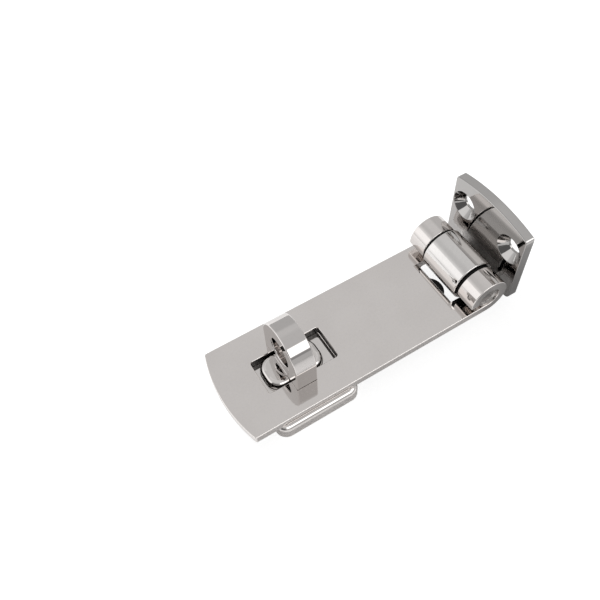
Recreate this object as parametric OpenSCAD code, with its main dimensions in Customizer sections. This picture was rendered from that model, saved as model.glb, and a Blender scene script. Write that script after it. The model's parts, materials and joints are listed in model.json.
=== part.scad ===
// Hasp and staple: hinged slotted strap over a swivelling padlock eye.
// Millimetres. +X runs along the strap to the hinge, +Y across it, +Z up from the door.
// Origin: the swivel axis of the eye where it meets the door, under the staple base.

/* [View] */
// Piece to build, or all of them

/* [Strap] */
// Width of the strap across Y
strap_w = 36; // [28:0.5:45]
// Thickness of the strap sheet
strap_t = 3.4; // [2.5:0.1:4]
// Height of the strap's upper face above the door
strap_top = 9; // [6:0.1:12]
// Distance from the eye axis to the middle of the bowed free end
free_end = 26.4; // [20:0.1:35]
// How far the free end bows out beyond its corners
free_bow = 2.9; // [1:0.1:5]
// Corner radius at the free end
corner_r = 1; // [0.5:0.1:4]
// Slot edge on the free-end side of the eye axis
slot_free = 12.1; // [11:0.1:13]
// Slot edge on the hinge side of the eye axis
slot_hinge = 14.5; // [12:0.1:18]
// Slot width across Y
slot_w = 13.5; // [12.8:0.1:16]
// Corner radius of the slot
slot_r = 0.9; // [0.3:0.1:3]

/* [Hinge] */
// Distance from the eye axis to the hinge axis
hinge_x = 69.3; // [60:0.1:90]
// Radius of the bore rolled for the pin
bore_r = 4.2; // [3:0.05:5]
// Radial running clearance round the hinge pin
pin_clear = 0.05; // [0.02:0.01:0.1]
// Half length of the leaf's middle knuckle
mid_half = 8.9; // [6:0.05:11]
// Thickness of each thrust washer
washer_t = 0.9; // [0.6:0.1:2]
// Side clearance on each face of a washer
washer_gap = 0.1; // [0.05:0.01:0.3]
// Height of the rolled lip above the strap's upper face
lip_rise = 2.8; // [1:0.1:4]
// How far the notch edge stands from the hinge axis
notch_back = 8.5; // [8.4:0.1:14]
// Radius of the rounding on the notch's upper edge
notch_round = 3; // [1:0.1:3.3]
// Radius of the notch's inner corners
notch_r = 1.5; // [0.5:0.1:3]
// Depth of the dished pin ends inside the knuckles
pin_inset = 0.6; // [0.2:0.1:1.5]
// Diameter of the dowel that locks the pin
dowel_d = 1.8; // [1.2:0.1:3]

/* [Leaf] */
// Width of the leaf across Y
leaf_w = 36; // [30:0.5:50]
// Thickness of the leaf plate
leaf_t = 3.75; // [3:0.05:4.5]
// Thickness of the leaf's tongue and of the knuckle rolled from it
tongue_t = 4.1; // [3:0.05:4.5]
// Distance from the hinge axis to the leaf's front face
leaf_off = 10.1; // [9.2:0.1:14]
// Height of the leaf at its upper corners
leaf_h = 36.4; // [30:0.1:45]
// How far the upper edge bows up beyond the corners
leaf_bow = 2.5; // [0.5:0.1:5]
// Corner radius of the leaf
leaf_r = 2; // [0.5:0.1:5]
// Height of the two screw holes above the door
screw_z = 27; // [22:0.1:30]
// Spacing of the two screw holes
screw_gap = 23.6; // [18:0.5:30]
// Diameter of the leaf's screw holes
screw_d = 5.4; // [4:0.1:6]
// Diameter of the leaf's countersinks at the face
sink_d = 11.2; // [8:0.1:12]
// Diameter of the oil hole in the middle knuckle
oil_d = 0.9; // [0.6:0.1:1.4]
// Diameter of the dish round the oil hole
oil_dish_d = 2; // [1.6:0.1:3]

/* [Staple] */
// Length of the staple base along X
base_l = 31.2; // [24:0.1:36]
// Width of the staple base across Y
base_w = 39.5; // [38:0.5:50]
// Thickness of the staple base flange
base_t = 5.5; // [3:0.1:5.5]
// Corner radius of the staple base
base_r = 4; // [1:0.1:8]
// Length of the boss that stands in the slot
boss_l = 21.2; // [18:0.1:22]
// Width of the boss that stands in the slot
boss_w = 12.7; // [12:0.1:13]
// Corner radius of the boss
boss_r = 5; // [2:0.1:6]
// Spacing of the hidden screw holes in the base
base_screw_gap = 27; // [24:0.5:28]
// Diameter of the hidden screw holes
base_screw_d = 4.5; // [3:0.1:5]
// Diameter of the hidden countersinks at the face
base_sink_d = 7.6; // [6:0.1:8]

/* [Swivel eye] */
// Width of the eye
eye_w = 21.4; // [16:0.1:22]
// Thickness of the eye
eye_t = 7.8; // [5:0.1:9]
// Height of the padlock hole above the strap's upper face
eye_rise = 9; // [7:0.1:12]
// Diameter of the padlock hole
lock_d = 10.7; // [8:0.1:12]
// Gap between the eye and the strap under it
eye_gap = 0.25; // [0.1:0.05:0.6]
// Diameter of the swivel stem
stem_d = 7.9; // [6:0.1:9]

/* [Hidden] */
$fn = 96;
eps = 0.5;
steel = [0.80, 0.79, 0.78];
steel_dark = [0.62, 0.62, 0.62];
nylon = [0.06, 0.06, 0.06];
rubber = [0.05, 0.05, 0.05];
strap_bot = strap_top - strap_t;
hinge_z = strap_top + bore_r;
knuckle_r = bore_r + strap_t;
mid_r = bore_r + tongue_t;
pin_r = bore_r - pin_clear;
out_in = mid_half + washer_t + 2 * washer_gap;
out_len = strap_w / 2 - out_in;
lip_z = strap_top + lip_rise;
notch_x = hinge_x - notch_back;
// where the two fingers have left the notch's corners behind
finger_x = notch_x + notch_r;
// radius of the bowed free end, from its chord and its bow
free_arc = (strap_w * strap_w / 4 + free_bow * free_bow) / (2 * free_bow);
// radius of the bowed upper edge of the leaf
leaf_arc = (leaf_w * leaf_w / 4 + leaf_bow * leaf_bow) / (2 * leaf_bow);
leaf_x = hinge_x + leaf_off;
leaf_bot = hinge_z - mid_r;
leaf_top = leaf_h + leaf_bow;
// the dowel crosses the near outer knuckle and enters the pin
dowel_y = -strap_w / 2 + out_len * 0.35;
dowel_tilt = -70;
dowel_deep = 2.2;
oil_y = -mid_half + 1.2;
oil_tilt = -65;
oil_dish = 0.55;
// rubber stop under the notch edge
stop_r = 5.6;
stop_t = 2.4;
stop_x = notch_x - 2.9;
stop_peg_r = 1.5;
stop_peg_h = 1.6;
// space under the boss for the eye's retaining parts
boss_top = strap_top - 0.15;
bay_r = 6.6;
bay_h = 2.7;
ring_t = 1.1;
wave_t = 0.6;
wave_r = 6;
groove_r = 3.1;
stem_r = stem_d / 2;
collar_r = 5.8;
eye_bot = strap_top + eye_gap;
eye_z = strap_top + eye_rise;
ring_z = bay_h - wave_t - 0.1 - ring_t - 0.05;

// rounded rectangle centred on the origin
module round_rect(l, w, r) {
  square([l - 2 * r, w], center = true);
  square([l, w - 2 * r], center = true);
  for (sx = [-1, 1])
    for (sy = [-1, 1])
      translate([sx * (l / 2 - r), sy * (w / 2 - r)])
        circle(r = r);
}

// plate outline seen from above, bowed at the free end
module strap_outline() {
  intersection() {
    translate([-free_end + free_arc, 0])
      circle(r = free_arc, $fn = 360);
    union() {
      translate([-free_end - 5, -strap_w / 2 + corner_r])
        square([20, strap_w - 2 * corner_r]);
      translate([-free_end + free_bow + corner_r * 0.6, -strap_w / 2])
        square([free_end + finger_x - free_bow - corner_r * 0.6, strap_w]);
      for (s = [-1, 1])
        translate([-free_end + free_bow + corner_r * 0.6, s * (strap_w / 2 - corner_r)])
          circle(r = corner_r);
    }
  }
}

// side profile of a strap finger with its rolled knuckle, drawn as X and Z
module finger_profile() {
  translate([finger_x - 1, strap_bot])
    square([hinge_x - finger_x + 1, strap_t]);
  difference() {
    translate([hinge_x, hinge_z])
      circle(r = knuckle_r);
    translate([hinge_x, hinge_z])
      circle(r = bore_r);
    translate([hinge_x - 2 * knuckle_r, strap_bot - 2])
      square([2 * knuckle_r, lip_z - strap_bot + 2]);
  }
}

// a profile drawn in X and Z, spread along Y
module along_y(y0, len) {
  translate([0, y0 + len, 0])
    rotate([90, 0, 0])
      linear_extrude(height = len)
        children();
}

module strap_plate() {
  color(steel)
  difference() {
    union() {
      translate([0, 0, strap_bot])
        linear_extrude(height = strap_t)
          difference() {
            strap_outline();
            translate([(slot_hinge - slot_free) / 2, 0])
              round_rect(slot_hinge + slot_free, slot_w, slot_r);
            translate([notch_x + 5, 0])
              round_rect(10, 2 * out_in, notch_r);
          }
      along_y(out_in, out_len)
        finger_profile();
      along_y(-strap_w / 2, out_len)
        finger_profile();
    }
    // rounded upper edge of the notch, cut through its corner fillets too
    along_y(-out_in, 2 * out_in)
      difference() {
        translate([notch_x - notch_round, strap_top - notch_round])
          square([notch_round + notch_r + eps, notch_round + eps]);
        translate([notch_x - notch_round, strap_top - notch_round])
          circle(r = notch_round);
      }
    // blind socket for the rubber stop
    translate([stop_x, 0, strap_bot - 1])
      cylinder(r = stop_peg_r, h = stop_peg_h + 1.2);
    // cross hole for the dowel
    translate([hinge_x, dowel_y, hinge_z])
      rotate([0, dowel_tilt, 0])
        cylinder(r = dowel_d / 2, h = knuckle_r + 2);
  }
}

// side profile of the leaf's tongue and rolled knuckle, drawn as X and Z
module tongue_profile() {
  translate([hinge_x, hinge_z - mid_r])
    square([leaf_off + 1, tongue_t]);
  difference() {
    translate([hinge_x, hinge_z])
      circle(r = mid_r);
    translate([hinge_x, hinge_z])
      circle(r = bore_r);
    translate([hinge_x, hinge_z - mid_r - 2])
      square([2 * mid_r, mid_r + 2 - 1]);
  }
}

// face outline of the leaf, drawn as Y and Z
module leaf_outline() {
  intersection() {
    translate([0, leaf_top - leaf_arc])
      circle(r = leaf_arc, $fn = 360);
    union() {
      translate([-leaf_w / 2, leaf_bot + leaf_r])
        square([leaf_w, leaf_h - leaf_bot - leaf_r * 1.6]);
      translate([-leaf_w / 2 + leaf_r, leaf_bot])
        square([leaf_w - 2 * leaf_r, leaf_h + leaf_bow + 5]);
      for (s = [-1, 1]) {
        translate([s * (leaf_w / 2 - leaf_r), leaf_bot + leaf_r])
          circle(r = leaf_r);
        translate([s * (leaf_w / 2 - leaf_r), leaf_h - leaf_r * 0.6])
          circle(r = leaf_r);
      }
    }
  }
}

module hinge_leaf() {
  color(steel)
  difference() {
    union() {
      translate([leaf_x, 0, 0])
        rotate([90, 0, 90])
          linear_extrude(height = leaf_t)
            leaf_outline();
      along_y(-mid_half, 2 * mid_half)
        tongue_profile();
    }
    for (s = [-1, 1])
      translate([leaf_x, s * screw_gap / 2, screw_z])
        rotate([0, 90, 0]) {
          translate([0, 0, -1])
            cylinder(r = screw_d / 2, h = leaf_t + 2);
          translate([0, 0, -eps])
            cylinder(r1 = sink_d / 2 + eps, r2 = screw_d / 2, h = (sink_d - screw_d) / 2 + eps);
        }
    // oil hole through the knuckle wall
    translate([hinge_x, oil_y, hinge_z])
      rotate([0, oil_tilt, 0]) {
        cylinder(r = oil_d / 2, h = mid_r + 2);
        translate([0, 0, mid_r - oil_dish])
          cylinder(r1 = oil_d / 2, r2 = oil_dish_d / 2 + 0.2, h = oil_dish + 0.2);
      }
  }
}

module hinge_pin() {
  color(steel_dark)
  translate([hinge_x, 0, hinge_z])
    difference() {
      rotate([90, 0, 0])
        cylinder(r = pin_r, h = strap_w - 2 * pin_inset, center = true);
      // shallow dished ends
      for (s = [-1, 1])
        translate([0, s * (strap_w / 2 - pin_inset), 0])
          rotate([-90 * s, 0, 0])
            translate([0, 0, -0.6])
              cylinder(r1 = pin_r - 1.4, r2 = pin_r - 0.4, h = 1);
      // socket for the dowel
      translate([0, dowel_y, 0])
        rotate([0, dowel_tilt, 0])
          translate([0, 0, pin_r - dowel_deep])
            cylinder(r = dowel_d / 2, h = dowel_deep + 2);
    }
}

module pin_dowel() {
  color(steel_dark)
  translate([hinge_x, dowel_y, hinge_z])
    rotate([0, dowel_tilt, 0])
      translate([0, 0, pin_r - dowel_deep + 0.1])
        cylinder(r = dowel_d / 2 - 0.02, h = knuckle_r - 0.45 - pin_r + dowel_deep - 0.1);
}

// thrust washer round the pin, starting at y0
module thrust_washer(y0) {
  color(nylon)
  translate([hinge_x, y0 + washer_t, hinge_z])
    rotate([90, 0, 0])
      difference() {
        cylinder(r = knuckle_r - 0.35, h = washer_t);
        translate([0, 0, -1])
          cylinder(r = bore_r + 0.05, h = washer_t + 2);
      }
}

module washer_far() {
  thrust_washer(mid_half + washer_gap);
}

module washer_near() {
  thrust_washer(-mid_half - washer_gap - washer_t);
}

module rubber_buffer() {
  color(rubber)
  union() {
    translate([stop_x, 0, strap_bot - stop_t])
      cylinder(r = stop_r, h = stop_t - 0.05);
    translate([stop_x, 0, strap_bot - 1])
      cylinder(r = stop_peg_r - 0.02, h = stop_peg_h + 0.9);
  }
}

module staple_base() {
  color(steel)
  difference() {
    union() {
      linear_extrude(height = base_t)
        round_rect(base_l, base_w, base_r);
      linear_extrude(height = boss_top)
        round_rect(boss_l, boss_w, boss_r);
    }
    // bore for the stem and the bay under it
    translate([0, 0, -1])
      cylinder(r = stem_r + 0.05, h = boss_top + 2);
    translate([0, 0, -1])
      cylinder(r = bay_r, h = bay_h + 1);
    // hidden countersunk screw holes
    for (s = [-1, 1])
      translate([0, s * base_screw_gap / 2, 0]) {
        translate([0, 0, -1])
          cylinder(r = base_screw_d / 2, h = base_t + 2);
        translate([0, 0, base_t - (base_sink_d - base_screw_d) / 2])
          cylinder(r1 = base_screw_d / 2, r2 = base_sink_d / 2 + eps,
                   h = (base_sink_d - base_screw_d) / 2 + eps);
      }
  }
}

// face outline of the eye, drawn as Y and Z
module eye_outline() {
  difference() {
    union() {
      intersection() {
        translate([0, eye_z])
          circle(r = eye_w / 2);
        translate([-eye_w / 2, eye_z - eps])
          square([eye_w, eye_w]);
      }
      translate([-eye_w / 2, eye_bot])
        square([eye_w, eye_z - eye_bot]);
    }
    translate([0, eye_z])
      circle(r = lock_d / 2);
  }
}

module swivel_eye() {
  color(steel)
  difference() {
    union() {
      translate([-eye_t / 2, 0, 0])
        rotate([90, 0, 90])
          linear_extrude(height = eye_t)
            eye_outline();
      translate([0, 0, boss_top + 0.1])
        cylinder(r = collar_r, h = eye_bot - boss_top - 0.1 + 0.4);
      translate([0, 0, 0.3])
        cylinder(r = stem_r, h = eye_bot);
    }
    // groove for the retaining ring
    translate([0, 0, ring_z - 0.05])
      difference() {
        cylinder(r = stem_r + 1, h = ring_t + 0.1);
        translate([0, 0, -1])
          cylinder(r = groove_r, h = ring_t + 2.1);
      }
  }
}

module spring_washer() {
  color(steel_dark)
  translate([0, 0, bay_h - wave_t - 0.05])
    difference() {
      cylinder(r = wave_r, h = wave_t);
      translate([0, 0, -1])
        cylinder(r = stem_r + 0.1, h = wave_t + 2);
    }
}

module retaining_ring() {
  color(steel_dark)
  translate([0, 0, ring_z])
    linear_extrude(height = ring_t)
      difference() {
        circle(r = wave_r - 0.4);
        circle(r = groove_r + 0.05);
        translate([-1.1, -8])
          square([2.2, 8]);
      }
}

strap_plate();
hinge_leaf();
hinge_pin();
pin_dowel();
washer_far();
washer_near();
rubber_buffer();
staple_base();
swivel_eye();
spring_washer();
retaining_ring();
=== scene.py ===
"""Looks of the hasp and staple: polished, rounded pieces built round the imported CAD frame."""
import json
import math

import bmesh
import bpy
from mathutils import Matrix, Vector
from mathutils.geometry import delaunay_2d_cdt

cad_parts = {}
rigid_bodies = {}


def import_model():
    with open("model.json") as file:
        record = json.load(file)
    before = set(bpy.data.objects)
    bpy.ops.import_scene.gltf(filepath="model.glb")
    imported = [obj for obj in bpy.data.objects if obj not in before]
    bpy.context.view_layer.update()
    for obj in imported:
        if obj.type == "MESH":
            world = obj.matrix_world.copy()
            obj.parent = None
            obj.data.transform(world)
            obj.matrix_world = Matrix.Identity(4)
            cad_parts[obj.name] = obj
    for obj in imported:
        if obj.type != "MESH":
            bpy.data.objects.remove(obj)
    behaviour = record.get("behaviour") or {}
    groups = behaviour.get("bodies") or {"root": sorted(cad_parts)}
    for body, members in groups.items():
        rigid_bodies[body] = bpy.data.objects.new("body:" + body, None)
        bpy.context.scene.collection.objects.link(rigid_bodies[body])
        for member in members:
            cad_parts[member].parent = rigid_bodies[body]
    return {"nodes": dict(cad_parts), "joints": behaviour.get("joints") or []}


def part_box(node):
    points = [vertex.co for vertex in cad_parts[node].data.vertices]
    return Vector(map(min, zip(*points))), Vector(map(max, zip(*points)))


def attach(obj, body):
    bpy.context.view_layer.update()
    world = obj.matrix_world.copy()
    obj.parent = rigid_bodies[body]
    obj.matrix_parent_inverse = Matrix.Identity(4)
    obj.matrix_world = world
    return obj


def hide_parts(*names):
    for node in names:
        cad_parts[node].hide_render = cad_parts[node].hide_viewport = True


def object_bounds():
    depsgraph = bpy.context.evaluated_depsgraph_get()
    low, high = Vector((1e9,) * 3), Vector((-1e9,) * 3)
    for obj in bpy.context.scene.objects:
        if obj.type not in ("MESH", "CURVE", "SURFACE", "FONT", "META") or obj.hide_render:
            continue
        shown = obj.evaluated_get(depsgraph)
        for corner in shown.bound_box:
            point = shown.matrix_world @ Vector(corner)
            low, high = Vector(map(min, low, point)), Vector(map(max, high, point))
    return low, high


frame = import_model()
CAD_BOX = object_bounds()

MM = 0.001
# vertices closer than this are one vertex
WELD = 0.001 * MM
# faces that meet at less than this angle are one flat face
FLAT_ANGLE = math.radians(0.4)
# edges that turn by more than this are rounded
SHARP_ANGLE = math.radians(25)
# shading doesn't run smoothly over edges that turn by more than this
SPLIT_ANGLE = math.radians(55)
# faces that meet at less than this angle lie in one plane
SAME_PLANE = math.radians(0.05)
# delaunay_2d_cdt's number for triangles all over the outline's convex hull
ALL_TRIANGLES = 0
# a face narrower than this, whose shading turns by more than this angle, is part of a rounded edge
EDGE_STRIP = 0.35 * MM
EDGE_TURN = math.radians(6)
# the largest rounding radius, which an edge's weight scales down
LARGEST_ROUND = 3.0 * MM


def body_of_node(node):
    """The CAD body that a CAD node rides on."""
    return frame["nodes"][node].parent.name.split(":")[-1]


def middle(edge):
    """Middle point of a bmesh edge."""
    return (edge.verts[0].co + edge.verts[1].co) / 2


def flat_regions(bm):
    """Groups of joined faces that lie in one plane, with more than one face or more than four corners."""
    bm.normal_update()
    done = set()
    regions = []
    for first in bm.faces:
        if first in done:
            continue
        done.add(first)
        region = [first]
        for face in region:
            for edge in face.edges:
                for other in edge.link_faces:
                    if other not in done and other.normal.angle(first.normal, 1) < SAME_PLANE:
                        done.add(other)
                        region.append(other)
        if len(region) > 1 or len(first.verts) > 4:
            regions.append(region)
    return regions


def encloses(walls, spot):
    """Whether a ray from spot crosses the walls, pairs of 2-D points, an odd number of times."""
    crossings = 0
    for a, b in walls:
        if (a.y > spot.y) != (b.y > spot.y):
            if a.x + (b.x - a.x) * (spot.y - a.y) / (b.y - a.y) > spot.x:
                crossings += 1
    return crossings % 2 == 1


def refill(bm, region, flat_faces):
    """Fills a flat region again with well shaped triangles, from its outline and its holes.
    Adds each new face's normal to flat_faces."""
    normal = max(region, key=lambda face: face.calc_area()).normal.copy()
    inside = set(region)
    outline = [e for face in region for e in face.edges if any(f not in inside for f in e.link_faces)]
    corners = list({vert for edge in outline for vert in edge.verts})
    number = {vert: i for i, vert in enumerate(corners)}
    across = normal.orthogonal().normalized()
    along = normal.cross(across)
    # in millimetres, so that the fill's own tolerance is small beside the piece
    flat = [Vector((vert.co.dot(across), vert.co.dot(along))) / MM for vert in corners]
    level = sum(vert.co.dot(normal) for vert in corners) / len(corners)
    ends = [(number[edge.verts[0]], number[edge.verts[1]]) for edge in outline]
    places, _, triangles, sources, _, _ = delaunay_2d_cdt(flat, ends, [], ALL_TRIANGLES, 1e-5)
    bmesh.ops.delete(bm, geom=region, context="FACES")
    verts = []
    for place, source in zip(places, sources):
        if source:
            verts.append(corners[source[0]])
        else:
            verts.append(bm.verts.new((across * place.x + along * place.y) * MM + normal * level))
    walls = [(flat[a], flat[b]) for a, b in ends]
    for triangle in triangles:
        if not encloses(walls, sum((places[i] for i in triangle), Vector((0, 0))) / 3):
            continue
        a, b, c = (verts[i] for i in triangle)
        spread = (b.co - a.co).cross(c.co - a.co).dot(normal)
        if spread < 0:
            b, c = c, b
        if abs(spread) > WELD * WELD and not bm.faces.get((a, b, c)):
            face = bm.faces.new((a, b, c))
            face.smooth = True
            flat_faces[face] = normal


def close_seams(bm):
    """Splits each open edge where the corner of another open edge lies on it, and joins the two."""
    seams = [edge for edge in bm.edges if len(edge.link_faces) == 1]
    ends = {vert for edge in seams for vert in edge.verts}
    for edge in seams:
        start, end = edge.verts
        line = end.co - start.co
        on_edge = []
        for vert in ends:
            share = (vert.co - start.co).dot(line) / line.length_squared
            if 0.001 < share < 0.999 and (start.co + line * share - vert.co).length < WELD:
                on_edge.append(share)
        done = 0.0
        for share in sorted(on_edge):
            edge, start = bmesh.utils.edge_split(edge, start, (share - done) / (1 - done))
            edge = next(e for e in start.link_edges if end in e.verts)
            done = share
    bmesh.ops.remove_doubles(bm, verts=bm.verts, dist=WELD)


def smooth_group(first, vert):
    """The faces round a vertex that are reached from the first one without crossing a sharp edge."""
    group = [first]
    for face in group:
        for edge in face.edges:
            if vert in edge.verts and edge.calc_face_angle(math.pi) < SPLIT_ANGLE:
                group += [other for other in edge.link_faces if other not in group]
    return group


def corner_normals(bm, flat_faces):
    """A shading normal for each face's corner at each vertex. A flat face keeps its own, so that it
    mirrors without ripples, and elsewhere the largest faces of a smooth group count most."""
    bm.normal_update()
    normals = {}
    for vert in bm.verts:
        for first in vert.link_faces:
            if (first, vert) in normals:
                continue
            group = smooth_group(first, vert)
            total = sum((flat_faces[face] for face in group if face in flat_faces), Vector())
            if total.length < 0.5:
                largest = max(face.calc_area() for face in group)
                total = Vector()
                for loop in vert.link_loops:
                    if loop.face in group:
                        share = loop.calc_angle() * (loop.face.calc_area() / largest) ** 3
                        total += loop.face.normal * share
            for face in group:
                normals[face, vert] = flat_faces.get(face, total.normalized())
    return normals


def rounded_copy(name, node, material, radius_at, steps=4, reshape=None):
    """A new piece with a CAD node's shape and rounded edges. radius_at gives each sharp edge's radius.
    reshape changes the shape before its edges are rounded."""
    bm = bmesh.new()
    bm.from_mesh(frame["nodes"][node].data)
    bmesh.ops.remove_doubles(bm, verts=bm.verts, dist=WELD)
    bmesh.ops.dissolve_limit(bm, angle_limit=FLAT_ANGLE, verts=bm.verts, edges=bm.edges,
                             use_dissolve_boundaries=False)
    if reshape:
        reshape(bm)
    weight = bm.edges.layers.float.new("bevel_weight_edge")
    for edge in bm.edges:
        edge.smooth = True
        if edge.is_manifold and edge.calc_face_angle() > SHARP_ANGLE:
            edge[weight] = radius_at(edge) / LARGEST_ROUND
    for face in bm.faces:
        face.smooth = True
        face.material_index = 0
    mesh = bpy.data.meshes.new(name)
    bm.to_mesh(mesh)
    bm.free()
    if "custom_normal" in mesh.attributes:
        mesh.attributes.remove(mesh.attributes["custom_normal"])
    mesh.materials.append(material)
    piece = bpy.data.objects.new(name, mesh)
    bpy.context.scene.collection.objects.link(piece)
    bevel = piece.modifiers.new("rounded_edges", "BEVEL")
    bevel.limit_method = "WEIGHT"
    bevel.width = LARGEST_ROUND
    bevel.segments = steps
    bevel.use_clamp_overlap = False
    bevel.loop_slide = False
    # the rounding is applied, so that the flat faces it cut back can be filled again
    shape = bmesh.new()
    shape.from_object(piece, bpy.context.evaluated_depsgraph_get())
    # 1 on the rounded edges, which handling rubs brighter. A new layer makes Blender forget which
    # Python object stands for which face, so it comes before anything is kept by face
    rubbed = shape.faces.layers.float.new("rubbed")
    piece.modifiers.remove(bevel)
    # it can overshoot at a shallow corner
    low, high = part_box(node)
    for vert in shape.verts:
        vert.co = [min(max(c, a), b) for c, a, b in zip(vert.co, low, high)]
    flat_faces = {}
    for region in flat_regions(shape):
        refill(shape, region, flat_faces)
    close_seams(shape)
    flat_faces = {face: normal for face, normal in flat_faces.items() if face.is_valid}
    normals = corner_normals(shape, flat_faces)
    for face in shape.faces:
        longest = max(edge.calc_length() for edge in face.edges)
        turns = max(normals[face, vert].angle(face.normal, 0) for vert in face.verts)
        if turns > EDGE_TURN and face.calc_area() < EDGE_STRIP * longest:
            face[rubbed] = 1.0
    in_order = [normals[face, vert] for face in shape.faces for vert in face.verts]
    shape.to_mesh(mesh)
    shape.free()
    mesh.normals_split_custom_set(in_order)
    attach(piece, body_of_node(node))
    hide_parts(node)
    return piece


class Nodes:
    """Short ways to add nodes to one node tree."""

    def __init__(self, tree):
        self.tree = tree

    def add(self, kind, **inputs):
        """A new node with some of its inputs set or linked. An underscore in a name stands for a space."""
        node = self.tree.nodes.new("ShaderNode" + kind)
        for name, value in inputs.items():
            self.put(node.inputs[name.replace("_", " ")], value)
        return node

    def put(self, socket, value):
        """Sets a socket to a number, or links another node's output to it."""
        if isinstance(value, bpy.types.NodeSocket):
            self.tree.links.new(value, socket)
        else:
            socket.default_value = value

    def math(self, operation, first, second=0.0):
        """One operation on one or two numbers."""
        node = self.tree.nodes.new("ShaderNodeMath")
        node.operation = operation
        self.put(node.inputs[0], first)
        self.put(node.inputs[1], second)
        return node.outputs[0]

    def ramp(self, value, low, high, at_low=0.0, at_high=1.0):
        """Goes smoothly from at_low, where value is low, to at_high, where value is high."""
        node = self.tree.nodes.new("ShaderNodeMapRange")
        node.interpolation_type = "SMOOTHSTEP"
        self.put(node.inputs["Value"], value)
        limits = {"From Min": low, "From Max": high, "To Min": at_low, "To Max": at_high}
        for name, number in limits.items():
            self.put(node.inputs[name], number)
        return node.outputs["Result"]

    def window(self, value, low, high, low_blur, high_blur):
        """1 between low and high, falling to 0 over each blur."""
        rise = self.ramp(value, low - low_blur, low + low_blur)
        fall = self.ramp(value, high - high_blur, high + high_blur, 1.0, 0.0)
        return self.math("MULTIPLY", rise, fall)

    def blend(self, base, value, mask):
        """base where mask is 0 and value where it is 1."""
        node = self.tree.nodes.new("ShaderNodeMix")
        self.put(node.inputs[0], mask)
        self.put(node.inputs[2], base)
        self.put(node.inputs[3], value)
        return node.outputs[0]

    def blend_colour(self, base, colour, mask):
        """The same for two colours."""
        node = self.tree.nodes.new("ShaderNodeMix")
        node.data_type = "RGBA"
        self.put(node.inputs[0], mask)
        self.put(node.inputs[6], base)
        self.put(node.inputs[7], colour)
        return node.outputs[2]

    def noise(self, place, size, detail=3.0):
        """Noise from 0 to 1 whose blotches are about size metres across."""
        return self.add("TexNoise", Vector=place, Scale=1 / size, Detail=detail).outputs["Fac"]


def new_material(name):
    """A node material, with its Principled shader and ways to add to it."""
    material = bpy.data.materials.new(name)
    material.use_nodes = True
    return material, material.node_tree.nodes["Principled BSDF"], Nodes(material.node_tree)


def hairlines(make, place, turn, length, width):
    """Fine streaks, 0 to 1, all running one way: place turned about the axes, then squeezed."""
    squeezed = make.add("Mapping", Vector=place)
    squeezed.inputs["Rotation"].default_value = turn
    squeezed.inputs["Scale"].default_value = (1 / length, 1 / width, 1 / width)
    streaks = make.add("TexNoise", Vector=squeezed.outputs["Vector"], Scale=1.0, Detail=2.0).outputs["Fac"]
    return make.ramp(streaks, 0.60, 0.72)


# how large the metal's marks are: its broad and its fine changes of tone, the waves that polishing
# left, and the grains where it isn't polished
BROAD_TONE = 12 * MM
FINE_TONE = 0.9 * MM
POLISHING_WAVE = 5 * MM
GRAIN = 0.35 * MM
GRAIN_HEIGHT = 0.02 * MM
HAIRLINE_DEPTH = 0.00015 * MM
# what handling does to the edges' tone, and what a worse polish does to the tone of a greyer part
RUBBED_TONE = 1.1
GREYER_TONE = 0.66
DULL_ROUGHNESS = 0.45


def worked_metal(name, dark, light, rough, haze, waves, dull_and_painted_shading=None, dull_and_painted_tones=(0, 1), darker=None):
    """Metal whose tone, haze and hairlines vary over it. waves is how far polishing left it uneven.
    Two masks, from a position's parts, give where the grainy surface that polishing missed was left and, in
    darker, where the polish is greyer. That surface's range of tones is partly painted: near black in the
    strap's slot as painted shade, and raised in the leaf's corner behind the knuckle as painted light."""
    material, shader, make = new_material(name)
    shader.inputs["Metallic"].default_value = 1.0
    place = make.add("TexCoord").outputs["Object"]
    broad = make.noise(place, BROAD_TONE)
    fine = make.noise(place, FINE_TONE, 5.0)
    tone = make.math("ADD", make.math("MULTIPLY", broad, 0.6), make.math("MULTIPLY", fine, 0.4))
    colour = make.blend_colour((*dark, 1), (*light, 1), make.ramp(tone, 0.3, 0.7))
    lines = make.math("MAXIMUM", hairlines(make, place, (0.0, 0.0, 0.3), 9 * MM, 0.05 * MM),
                      hairlines(make, place, (0.4, 0.3, -0.9), 6 * MM, 0.04 * MM))
    edges = make.tree.nodes.new("ShaderNodeAttribute")
    edges.attribute_name = "rubbed"
    worn = [min(1.0, c * RUBBED_TONE) for c in light]
    colour = make.blend_colour(colour, (*worn, 1), edges.outputs["Fac"])
    hazy = make.blend(rough, rough + haze, make.ramp(fine, 0.35, 0.75))
    roughness = make.math("ADD", hazy, make.math("MULTIPLY", lines, haze))
    height = make.math("SUBTRACT", make.math("MULTIPLY", make.noise(place, POLISHING_WAVE, 1.0), waves),
                       make.math("MULTIPLY", lines, HAIRLINE_DEPTH))
    spot = make.add("SeparateXYZ", Vector=place).outputs
    if darker:
        colour = make.blend_colour(colour, (*[c * GREYER_TONE for c in dark], 1), darker(make, *spot))
    if dull_and_painted_shading:
        dull_and_painted = dull_and_painted_shading(make, *spot)
        grains = make.noise(place, GRAIN, 4.0)
        # tones of the surface left rough: near black in the strap's slot as painted shade, raised in the
        # leaf's corner as painted light
        dull_tone_and_painted_shading = make.blend_colour((*[c * dull_and_painted_tones[0] for c in dark], 1), (*[c * dull_and_painted_tones[1] for c in dark], 1),
                                  make.ramp(grains, 0.3, 0.75))
        colour = make.blend_colour(colour, dull_tone_and_painted_shading, dull_and_painted)
        roughness = make.blend(roughness, DULL_ROUGHNESS, dull_and_painted)
        grainy = make.math("MULTIPLY", grains, dull_and_painted)
        height = make.math("ADD", height, make.math("MULTIPLY", grainy, GRAIN_HEIGHT))
    make.put(shader.inputs["Base Color"], colour)
    make.put(shader.inputs["Roughness"], roughness)
    bump = make.add("Bump", Height=height)
    bump.inputs["Distance"].default_value = 1.0
    make.put(shader.inputs["Normal"], bump.outputs["Normal"])
    return material


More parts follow.
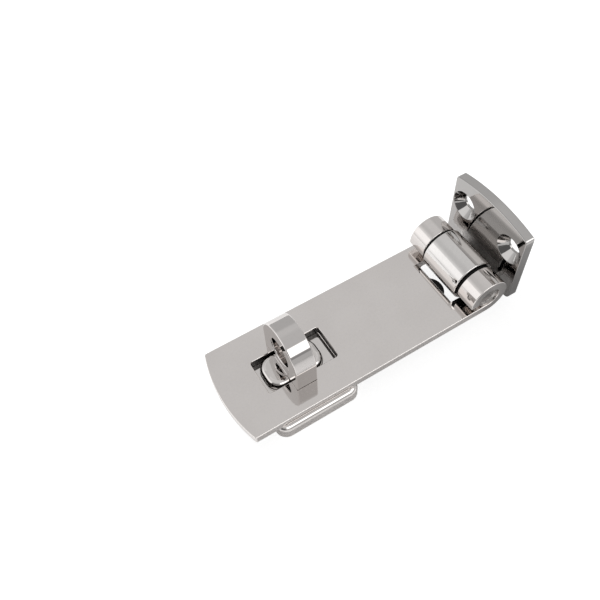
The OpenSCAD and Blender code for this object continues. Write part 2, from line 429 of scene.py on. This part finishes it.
def dull_plastic(name, colour, rough, grain):
    """Black nylon or rubber with a fine moulded grain and slight dust."""
    material, shader, make = new_material(name)
    place = make.add("TexCoord").outputs["Object"]
    grains = make.noise(place, grain, 4.0)
    dust = make.ramp(make.noise(place, 2.5 * MM, 5.0), 0.5, 0.85)
    dusty = [c + 0.012 for c in colour]
    make.put(shader.inputs["Base Color"], make.blend_colour((*colour, 1), (*dusty, 1), dust))
    make.put(shader.inputs["Roughness"], make.blend(rough, rough + 0.2, grains))
    shader.inputs["Specular IOR Level"].default_value = 0.12
    bump = make.add("Bump", Height=grains)
    bump.inputs["Distance"].default_value = 0.01 * MM
    make.put(shader.inputs["Normal"], bump.outputs["Normal"])
    return material


# ---- places taken from the CAD model
HINGE_X, _, HINGE_Z = frame["joints"][0]["pos_m"]
LEAF_LOW, LEAF_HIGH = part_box("hinge_leaf")
BASE_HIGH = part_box("staple_base")[1]
STRAP_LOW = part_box("strap_plate")[0]
DOWEL_LOW, DOWEL_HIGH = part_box("pin_dowel")
# the crease near the strap's free end, and how far the steel leans down beyond it
CREASE_X = STRAP_LOW.x + 4.9 * MM
CREASE_ANGLE = math.radians(1.2)
# the eye stands just clear of the strap's upper face, and the boss is just below it
STRAP_TOP = BASE_HIGH.z + 0.15 * MM
STRAP_BOTTOM = STRAP_LOW.z
LEAF_THICKNESS = 3.75 * MM
LEAF_FRONT = LEAF_HIGH.x - LEAF_THICKNESS
# how far the slot reaches from the eye's axis, with half a millimetre to spare
SLOT_SIDE = 7.2 * MM
SLOT_FREE_END = -12.6 * MM
SLOT_HINGE_END = 15 * MM


def slot_walls_painted_shade(make, x, y, z):
    """The slot's sawn walls, below the strap's upper face: rough and grainy, and painted near black as
    painted shade.
    """
    across = make.window(y, -SLOT_SIDE, SLOT_SIDE, 0.1 * MM, 0.1 * MM)
    along = make.window(x, SLOT_FREE_END, SLOT_HINGE_END, 0.1 * MM, 0.1 * MM)
    below = make.ramp(z, STRAP_TOP - 0.45 * MM, STRAP_TOP - 0.3 * MM, 1.0, 0.0)
    return make.math("MULTIPLY", make.math("MULTIPLY", across, along), below)


def knuckle_corner_painted_light(make, x, y, z):
    """The corner between the knuckle and the leaf, which a polishing wheel can't reach, so it stays rough
    and grainy; its tone is raised there as painted light over its shade.
    """
    across = make.window(y, -10 * MM, 10 * MM, 1.2 * MM, 1.2 * MM)
    behind = make.window(x, HINGE_X + 6.5 * MM, LEAF_FRONT + 1.2 * MM, 1.5 * MM, 0.3 * MM)
    low = make.ramp(z, HINGE_Z + 1 * MM, HINGE_Z + 7 * MM, 1.0, 0.0)
    return make.math("MULTIPLY", make.math("MULTIPLY", across, behind), low)


def leaf_plate(make, x, y, z):
    """The flat plate behind the knuckle. It counts less on the arched upper edge."""
    plate = make.ramp(x, LEAF_FRONT - 0.6 * MM, LEAF_FRONT - 0.1 * MM)
    edge = make.window(x, LEAF_FRONT + 0.4 * MM, LEAF_HIGH.x - 0.4 * MM, 0.15 * MM, 0.15 * MM)
    upper = make.ramp(z, LEAF_HIGH.z - 5.4 * MM, LEAF_HIGH.z - 4.8 * MM, 0.0, 0.4)
    arch = make.math("MULTIPLY", edge, upper)
    return make.math("SUBTRACT", plate, arch)


# its slot's walls take tones near black: painted shade
STRAP_STEEL = worked_metal("strap_steel", (0.72, 0.685, 0.665), (0.755, 0.72, 0.70), 0.045, 0.03,
                           0.004 * MM, slot_walls_painted_shade, (0.03, 0.2))
# the corner behind its knuckle takes tones raised above the polished steel's: painted light over that
# corner's shade
LEAF_STEEL = worked_metal("leaf_steel", (0.71, 0.69, 0.675), (0.76, 0.74, 0.725), 0.04, 0.03,
                          0.004 * MM, knuckle_corner_painted_light, (0.8, 1.38), leaf_plate)
EYE_STEEL = worked_metal("eye_steel", (0.64, 0.615, 0.60), (0.68, 0.65, 0.635), 0.03, 0.02, 0.003 * MM)
BASE_STEEL = worked_metal("base_steel", (0.68, 0.65, 0.63), (0.74, 0.71, 0.69), 0.04, 0.03, 0.004 * MM)
PIN_STEEL = worked_metal("pin_steel_look", (0.41, 0.39, 0.372), (0.50, 0.475, 0.46), 0.16, 0.12, 0.006 * MM)
NYLON = dull_plastic("black_nylon_look", (0.006, 0.006, 0.006), 0.5, 0.2 * MM)
RUBBER = dull_plastic("black_rubber_look", (0.01, 0.01, 0.01), 0.65, 0.12 * MM)


# ---- the steel pieces, with the rounding of each edge
def strap_round(edge):
    """All outer edges alike, apart from the small hole for the dowel. The free end's corners are round
    already, and the webs in the notch's corners are too thin to be rounded above and below."""
    spot = middle(edge)
    upright = abs(edge.verts[0].co.z - edge.verts[1].co.z) > 1 * MM
    on_web = abs(spot.z - STRAP_BOTTOM - 0.4 * MM) < 0.1 * MM and spot.x > HINGE_X - 9 * MM
    if not edge.is_convex or on_web or (upright and spot.x < STRAP_LOW.x + 4 * MM):
        return 0
    at_dowel = DOWEL_LOW.y - 0.1 * MM < spot.y < DOWEL_HIGH.y + 0.1 * MM and spot.x > HINGE_X - 8 * MM
    return 0.12 * MM if at_dowel else 0.3 * MM


def leaf_round(edge):
    """The leaf's outline and its knuckle are rounded more than its screw holes."""
    spot = middle(edge)
    on_knuckle = spot.x < LEAF_FRONT - 0.1 * MM
    on_side = abs(spot.y) > LEAF_HIGH.y - 0.4 * MM
    on_end = not LEAF_LOW.z + 2.1 * MM < spot.z < LEAF_HIGH.z - 4.3 * MM
    return 0.4 * MM if on_knuckle or on_side or on_end else 0.15 * MM


def base_round(edge):
    """The flange has a soft upper edge, and so has the boss."""
    spot = middle(edge)
    if spot.z > BASE_HIGH.z - 0.2 * MM and math.hypot(spot.x, spot.y) > 5.5 * MM:
        return 1.9 * MM
    outline = max(abs(spot.x) - BASE_HIGH.x, abs(spot.y) - BASE_HIGH.y) > -1.3 * MM
    if outline and spot.z > STRAP_BOTTOM - 0.3 * MM:
        return 2.1 * MM
    return 0.3 * MM


def eye_round(edge):
    """The collar under the eye has sharper edges."""
    return 0.45 * MM if middle(edge).z > STRAP_TOP + 0.8 * MM else 0.1 * MM


def bend_free_end(bm):
    """A slight crease across the strap's upper face, beyond which the free end leans down."""
    geometry = bm.verts[:] + bm.edges[:] + bm.faces[:]
    bmesh.ops.bisect_plane(bm, geom=geometry, plane_co=(CREASE_X, 0, 0), plane_no=(1, 0, 0), dist=WELD)
    for vert in bm.verts:
        if vert.co.x < CREASE_X and vert.co.z > STRAP_BOTTOM + 1 * MM:
            vert.co.z -= (CREASE_X - vert.co.x) * math.tan(CREASE_ANGLE)


def same(radius):
    """One rounding radius for all of a piece's edges."""
    return lambda edge: radius


rounded_copy("strap", "strap_plate", STRAP_STEEL, strap_round, reshape=bend_free_end)
rounded_copy("leaf", "hinge_leaf", LEAF_STEEL, leaf_round)
rounded_copy("eye", "swivel_eye", EYE_STEEL, eye_round)
rounded_copy("base", "staple_base", BASE_STEEL, base_round, 6)
rounded_copy("pin", "hinge_pin", PIN_STEEL, same(0.1 * MM))
rounded_copy("dowel", "pin_dowel", PIN_STEEL, same(0.2 * MM))
rounded_copy("wave_spring", "spring_washer", PIN_STEEL, same(0.1 * MM), 2)
rounded_copy("ring", "retaining_ring", PIN_STEEL, same(0.15 * MM), 2)
rounded_copy("washer_1", "washer_far", NYLON, same(0.12 * MM), 2)
rounded_copy("washer_2", "washer_near", NYLON, same(0.12 * MM), 2)
rounded_copy("buffer", "rubber_buffer", RUBBER, same(0.5 * MM))


# ---- camera, floor and light
CAMERA_PLACE = Vector((-47.623, -103.377, 210.83)) * MM
CAMERA_TURN = (34.2474, 1.2852, -31.9045)
LENS = 41.2865
SHIFT_X = -0.0333


def place_camera():
    """The photographer's view: from the free end's near side, looking steeply down."""
    data = bpy.data.cameras.new("camera")
    camera = bpy.data.objects.new("camera", data)
    bpy.context.scene.collection.objects.link(camera)
    camera.location = CAMERA_PLACE
    camera.rotation_euler = [math.radians(a) for a in CAMERA_TURN]
    data.lens = LENS
    data.shift_x = SHIFT_X
    data.clip_start = 0.01
    data.clip_end = 100
    bpy.context.scene.camera = camera


# Areas of the studio's walls, each laid over the ones before it. A window is its low and high limit
# and its blur at each, all in degrees. Turns run from +Y, or from -Y for the areas in front
BEHIND = "behind"
FRONT = "front"
STUDIO_AREAS = (
    # measured from, window of turns, window of heights, brightness
    (BEHIND, (-20, 62, 14, 20), (48, 70, 6, 6), 0.70),
    (BEHIND, (-97, -28, 3, 24), (-40, 47, 30, 10), 0.90),
    (BEHIND, (-96, -48, 3, 10), (6, 38, 10, 2), 1.25),
    (BEHIND, (-150, -99, 14, 3), (-8, 36, 12, 8), 0.16),
    (FRONT, (-50, 25, 8, 8), (17, 25, 2, 1.5), 0.34),
    (FRONT, (-60, 25, 4, 4), (27, 56, 1.5, 2), 2.0),
)
# brightness of the walls and of the ceiling, of all of it as soft light, and of the plain backdrop
WALLS = 0.57
CEILING = 0.64
SOFT_LIGHT = 0.5
BACKDROP = 0.95


def studio_world():
    """A pale tent with two white panels and darker openings, which the steel mirrors."""
    world = bpy.data.worlds.new("studio")
    bpy.context.scene.world = world
    world.use_nodes = True
    tree = world.node_tree
    make = Nodes(tree)
    direction = make.add("SeparateXYZ", Vector=make.add("TexCoord").outputs["Generated"])
    x, y, z = direction.outputs
    to_degrees = math.degrees(1)
    height = make.math("MULTIPLY", make.math("ARCSINE", z), to_degrees)
    turn = make.math("MULTIPLY", make.math("ARCTAN2", x, y), to_degrees)
    front = make.math("MULTIPLY", make.math("ARCTAN2", make.math("MULTIPLY", x, -1.0),
                                            make.math("MULTIPLY", y, -1.0)), to_degrees)
    turns = {BEHIND: turn, FRONT: front}
    light = make.blend(WALLS, CEILING, make.ramp(height, 45, 60))
    for origin, turn_window, height_window, brightness in STUDIO_AREAS:
        area = make.math("MULTIPLY", make.window(turns[origin], *turn_window),
                         make.window(height, *height_window))
        light = make.blend(light, brightness, area)
    path = make.add("LightPath")
    spread = make.blend(light, SOFT_LIGHT, path.outputs["Is Diffuse Ray"])
    seen = make.blend(spread, BACKDROP, path.outputs["Is Camera Ray"])
    tree.links.new(seen, tree.nodes["Background"].inputs["Color"])


# the middle of the floor's painted shadow, a greyer patch, from the middle of the floor, and the radii over
# which it fades
PAINTED_SHADOW_MIDDLE = (64 * MM, -30 * MM, 0)
PAINTED_SHADOW_INSIDE = 15 * MM
PAINTED_SHADOW_OUTSIDE = 32 * MM


def studio_floor():
    """A pale sheet, lit a little from below as on a light table, with a painted shadow round the leaf's
    foot. The camera sees it evenly bright, without the painted shadow.
    """
    mesh = bpy.data.meshes.new("floor")
    bm = bmesh.new()
    bmesh.ops.create_grid(bm, x_segments=1, y_segments=1, size=3)
    bm.to_mesh(mesh)
    bm.free()
    floor = bpy.data.objects.new("floor", mesh)
    bpy.context.scene.collection.objects.link(floor)
    middle_of_object = (CAD_BOX[0] + CAD_BOX[1]) / 2
    floor.location = (middle_of_object.x, middle_of_object.y, CAD_BOX[0].z - 0.02 * MM)
    look, shader, make = new_material("floor_look")
    # painted shadow: greyer round the leaf's foot, where its upright faces mirror it; the camera doesn't
    # see it
    away = make.tree.nodes.new("ShaderNodeVectorMath")
    away.operation = "DISTANCE"
    make.put(away.inputs[0], make.add("TexCoord").outputs["Object"])
    away.inputs[1].default_value = PAINTED_SHADOW_MIDDLE
    pale = make.ramp(away.outputs["Value"], PAINTED_SHADOW_INSIDE, PAINTED_SHADOW_OUTSIDE)
    colour = make.blend_colour((0.42, 0.42, 0.42, 1), (0.88, 0.88, 0.88, 1), pale)
    make.put(shader.inputs["Base Color"], colour)
    shader.inputs["Emission Color"].default_value = (1, 1, 1, 1)
    shader.inputs["Emission Strength"].default_value = 0.06
    shader.inputs["Roughness"].default_value = 0.9
    shader.inputs["Specular IOR Level"].default_value = 0.0
    lit = make.add("BsdfDiffuse", Color=(0.35, 0.35, 0.35, 1))
    glow = make.add("Emission", Strength=0.84)
    sheet = make.add("AddShader")
    make.put(sheet.inputs[0], lit.outputs[0])
    make.put(sheet.inputs[1], glow.outputs[0])
    either = make.add("MixShader", Fac=make.add("LightPath").outputs["Is Camera Ray"])
    make.put(either.inputs[1], shader.outputs[0])
    make.put(either.inputs[2], sheet.outputs[0])
    make.put(look.node_tree.nodes["Material Output"].inputs["Surface"], either.outputs[0])
    mesh.materials.append(look)


def key_light():
    """Soft light from behind, which the polished steel doesn't mirror."""
    data = bpy.data.lights.new("key", "AREA")
    data.shape = "DISK"
    data.size = 0.22
    data.energy = 2.4
    light = bpy.data.objects.new("key", data)
    bpy.context.scene.collection.objects.link(light)
    aim = Vector((0.03, -0.01, 0.0))
    light.location = aim + Vector((-0.12, 0.36, 0.48))
    light.rotation_euler = (aim - light.location).to_track_quat("-Z", "Y").to_euler()
    light.visible_glossy = False
    light.visible_camera = False


bpy.context.scene.view_settings.view_transform = "Standard"
place_camera()
studio_world()
studio_floor()
key_light()
